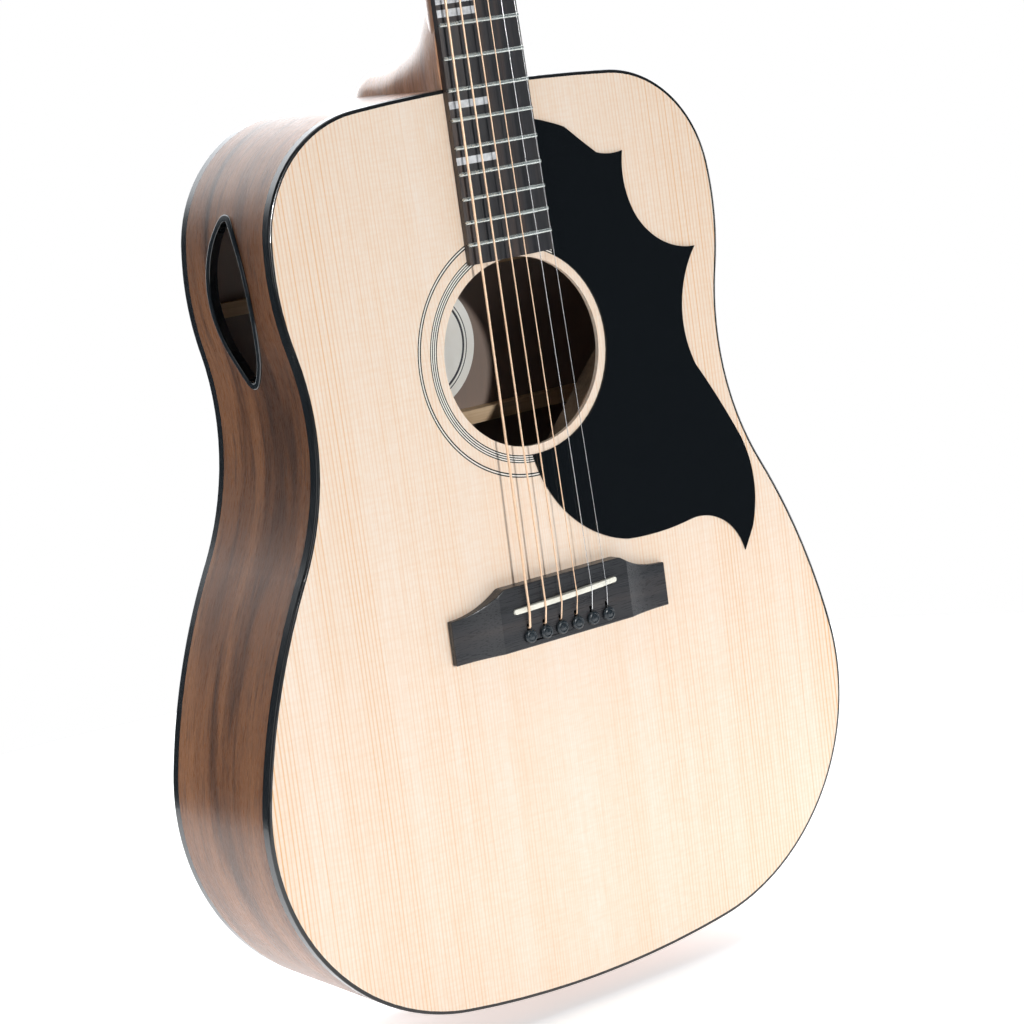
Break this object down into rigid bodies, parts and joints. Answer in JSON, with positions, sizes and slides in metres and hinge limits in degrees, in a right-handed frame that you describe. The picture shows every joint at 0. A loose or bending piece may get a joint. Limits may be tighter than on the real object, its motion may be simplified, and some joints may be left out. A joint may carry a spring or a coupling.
{
  "type": "acoustic guitar",
  "caption": "Steel-string acoustic guitar with a broad-shouldered body, leaf-shaped side port, bolt-free tenon neck and geared tuners.",
  "frame": {"origin": "centre of the end button's seat, on the outside of the rim at the tail, halfway through the depth there", "axes": "+Z from the tail up the body towards the headstock; the front with the sound hole faces -Y; +X is the treble side, the player's right"},
  "size_m": [0.3974, 0.1214, 1.0388],
  "materials": {
    "spruce": "satin, clear finish over straight fine grain",
    "walnut": "satin, dark streaked grain",
    "black_binding": "polished",
    "lining_wood": "raw",
    "brace_spruce": "raw",
    "mahogany": "satin",
    "maple": "raw",
    "label_paper": "matte",
    "rosette": "polished black and white lines",
    "guard_plastic": "polished",
    "ebony": "satin, oiled",
    "bone": "polished",
    "pin_plastic": "polished",
    "fret_metal": "polished",
    "pearl": "iridescent",
    "steel": "plain",
    "brass": "plain",
    "chrome": "polished",
    "wound_bronze": "wound wire",
    "plain_wire": "polished wire"
  },
  "bodies": {
    "guitar": {"soundboard": "spruce", "back": "walnut", "side_bass": "walnut", "side_treble": "walnut", "port_trim": "black_binding", "binding_top": "black_binding", "binding_back": "black_binding", "lining_top": "lining_wood", "lining_back": "lining_wood", "neck_block": "mahogany", "tail_block": "mahogany", "x_brace": "brace_spruce", "tone_bars": "brace_spruce", "finger_braces": "brace_spruce", "upper_transverse_brace": "brace_spruce", "bridge_plate": "maple", "back_braces": "brace_spruce", "back_seam_strip": "brace_spruce", "label": "label_paper", "rosette": "rosette", "pickguard": "guard_plastic", "bridge": "ebony", "saddle": "bone", "fingerboard": "ebony", "frets": "fret_metal", "fret_inlays": "pearl", "nut": "bone", "neck": "mahogany", "head_veneer": "ebony", "truss_rod": "steel", "truss_rod_cover": "guard_plastic", "headstock_screws": "chrome", "end_button": "chrome", "string_1": "wound_bronze", "string_2": "wound_bronze", "string_3": "wound_bronze", "string_4": "wound_bronze", "string_5": "plain_wire", "string_6": "plain_wire", "tuner_housings": "chrome", "tuner_bushings": "chrome"},
    "pin_1": {"bridge_pin_1": "pin_plastic"},
    "pin_2": {"bridge_pin_2": "pin_plastic"},
    "pin_3": {"bridge_pin_3": "pin_plastic"},
    "pin_4": {"bridge_pin_4": "pin_plastic"},
    "pin_5": {"bridge_pin_5": "pin_plastic"},
    "pin_6": {"bridge_pin_6": "pin_plastic"},
    "knob_1": {"tuner_knob_1": "chrome"},
    "post_1": {"tuner_post_1": "chrome"},
    "knob_2": {"tuner_knob_2": "chrome"},
    "post_2": {"tuner_post_2": "chrome"},
    "knob_3": {"tuner_knob_3": "chrome"},
    "post_3": {"tuner_post_3": "chrome"},
    "knob_4": {"tuner_knob_4": "chrome"},
    "post_4": {"tuner_post_4": "chrome"},
    "knob_5": {"tuner_knob_5": "chrome"},
    "post_5": {"tuner_post_5": "chrome"},
    "knob_6": {"tuner_knob_6": "chrome"},
    "post_6": {"tuner_post_6": "chrome"},
    "rod_nut": {"truss_rod_nut": "brass"}
  },
  "joints": [
    {"name": "bridge_pin_1_pull", "type": "slide", "parent": "guitar", "child": "pin_1", "axis": [0, -1, 0], "range_m": [0, 0.03]},
    {"name": "bridge_pin_2_pull", "type": "slide", "parent": "guitar", "child": "pin_2", "axis": [0, -1, 0], "range_m": [0, 0.03]},
    {"name": "bridge_pin_3_pull", "type": "slide", "parent": "guitar", "child": "pin_3", "axis": [0, -1, 0], "range_m": [0, 0.03]},
    {"name": "bridge_pin_4_pull", "type": "slide", "parent": "guitar", "child": "pin_4", "axis": [0, -1, 0], "range_m": [0, 0.03]},
    {"name": "bridge_pin_5_pull", "type": "slide", "parent": "guitar", "child": "pin_5", "axis": [0, -1, 0], "range_m": [0, 0.03]},
    {"name": "bridge_pin_6_pull", "type": "slide", "parent": "guitar", "child": "pin_6", "axis": [0, -1, 0], "range_m": [0, 0.03]},
    {"name": "tuner_knob_1_turn", "type": "hinge", "parent": "guitar", "child": "knob_1", "pos_m": [-0.0325, -0.01146, 0.89067], "axis": [-1, 0, 0], "continuous": true},
    {"name": "tuner_post_1_turn", "type": "hinge", "parent": "guitar", "child": "post_1", "pos_m": [-0.0205, -0.02971, 0.90321], "axis": [0, -0.961, 0.2766], "continuous": true},
    {"name": "tuner_knob_2_turn", "type": "hinge", "parent": "guitar", "child": "knob_2", "pos_m": [-0.0335, -0.00095, 0.92719], "axis": [-1, 0, 0], "continuous": true},
    {"name": "tuner_post_2_turn", "type": "hinge", "parent": "guitar", "child": "post_2", "pos_m": [-0.0215, -0.0192, 0.93972], "axis": [0, -0.961, 0.2766], "continuous": true},
    {"name": "tuner_knob_3_turn", "type": "hinge", "parent": "guitar", "child": "knob_3", "pos_m": [-0.0345, 0.00956, 0.9637], "axis": [-1, 0, 0], "continuous": true},
    {"name": "tuner_post_3_turn", "type": "hinge", "parent": "guitar", "child": "post_3", "pos_m": [-0.0225, -0.00868, 0.97624], "axis": [0, -0.961, 0.2766], "continuous": true},
    {"name": "tuner_knob_4_turn", "type": "hinge", "parent": "guitar", "child": "knob_4", "pos_m": [0.0325, -0.01146, 0.89067], "axis": [1, 0, 0], "continuous": true},
    {"name": "tuner_post_4_turn", "type": "hinge", "parent": "guitar", "child": "post_4", "pos_m": [0.0205, -0.02971, 0.90321], "axis": [0, -0.961, 0.2766], "continuous": true},
    {"name": "tuner_knob_5_turn", "type": "hinge", "parent": "guitar", "child": "knob_5", "pos_m": [0.0335, -0.00095, 0.92719], "axis": [1, 0, 0], "continuous": true},
    {"name": "tuner_post_5_turn", "type": "hinge", "parent": "guitar", "child": "post_5", "pos_m": [0.0215, -0.0192, 0.93972], "axis": [0, -0.961, 0.2766], "continuous": true},
    {"name": "tuner_knob_6_turn", "type": "hinge", "parent": "guitar", "child": "knob_6", "pos_m": [0.0345, 0.00956, 0.9637], "axis": [1, 0, 0], "continuous": true},
    {"name": "tuner_post_6_turn", "type": "hinge", "parent": "guitar", "child": "post_6", "pos_m": [0.0225, -0.00868, 0.97624], "axis": [0, -0.961, 0.2766], "continuous": true},
    {"name": "truss_rod_nut_turn", "type": "hinge", "parent": "guitar", "child": "rod_nut", "pos_m": [0, -0.03639, 0.86303], "axis": [0, 0.0185, 0.9998], "range_deg": [-180, 180]}
  ],
  "couplings": [
    {"joint": "tuner_post_1_turn", "follows": "tuner_knob_1_turn", "ratio": 0.055556},
    {"joint": "tuner_post_2_turn", "follows": "tuner_knob_2_turn", "ratio": 0.055556},
    {"joint": "tuner_post_3_turn", "follows": "tuner_knob_3_turn", "ratio": 0.055556},
    {"joint": "tuner_post_4_turn", "follows": "tuner_knob_4_turn", "ratio": -0.055556},
    {"joint": "tuner_post_5_turn", "follows": "tuner_knob_5_turn", "ratio": -0.055556},
    {"joint": "tuner_post_6_turn", "follows": "tuner_knob_6_turn", "ratio": -0.055556}
  ]
}
